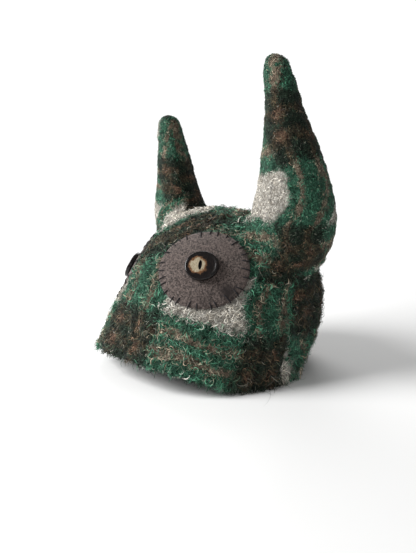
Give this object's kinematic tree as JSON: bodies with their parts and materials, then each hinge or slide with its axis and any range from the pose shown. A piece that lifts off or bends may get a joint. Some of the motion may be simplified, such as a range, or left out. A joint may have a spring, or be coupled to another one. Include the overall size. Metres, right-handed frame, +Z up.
{
  "type": "horned beanie",
  "caption": "Felted tartan cap that stands on its rim, with stuffed upright horns and felt eye patches that carry horn buttons.",
  "frame": {"origin": "middle of the beanie's box, on the table that it stands on", "axes": "+Z up, the face with the eyes looks along -Y, the wearer's left is +X"},
  "size_m": [0.2318, 0.2098, 0.284],
  "materials": {
    "tartan_cloth": "felted mohair tartan, green and brown bands on a cream ground, with a long soft pile",
    "wool_felt": "dense grey-brown wool felt, slightly fuzzy",
    "button_horn": "polished dark horn with a cream middle"
  },
  "bodies": {
    "root": {"front_panel": "tartan_cloth", "back_panel": "tartan_cloth", "left_horn": "tartan_cloth", "right_horn": "tartan_cloth", "left_eye_patch": "wool_felt", "right_eye_patch": "wool_felt", "left_eye_button": "button_horn", "right_eye_button": "button_horn"}
  },
  "joints": []
}
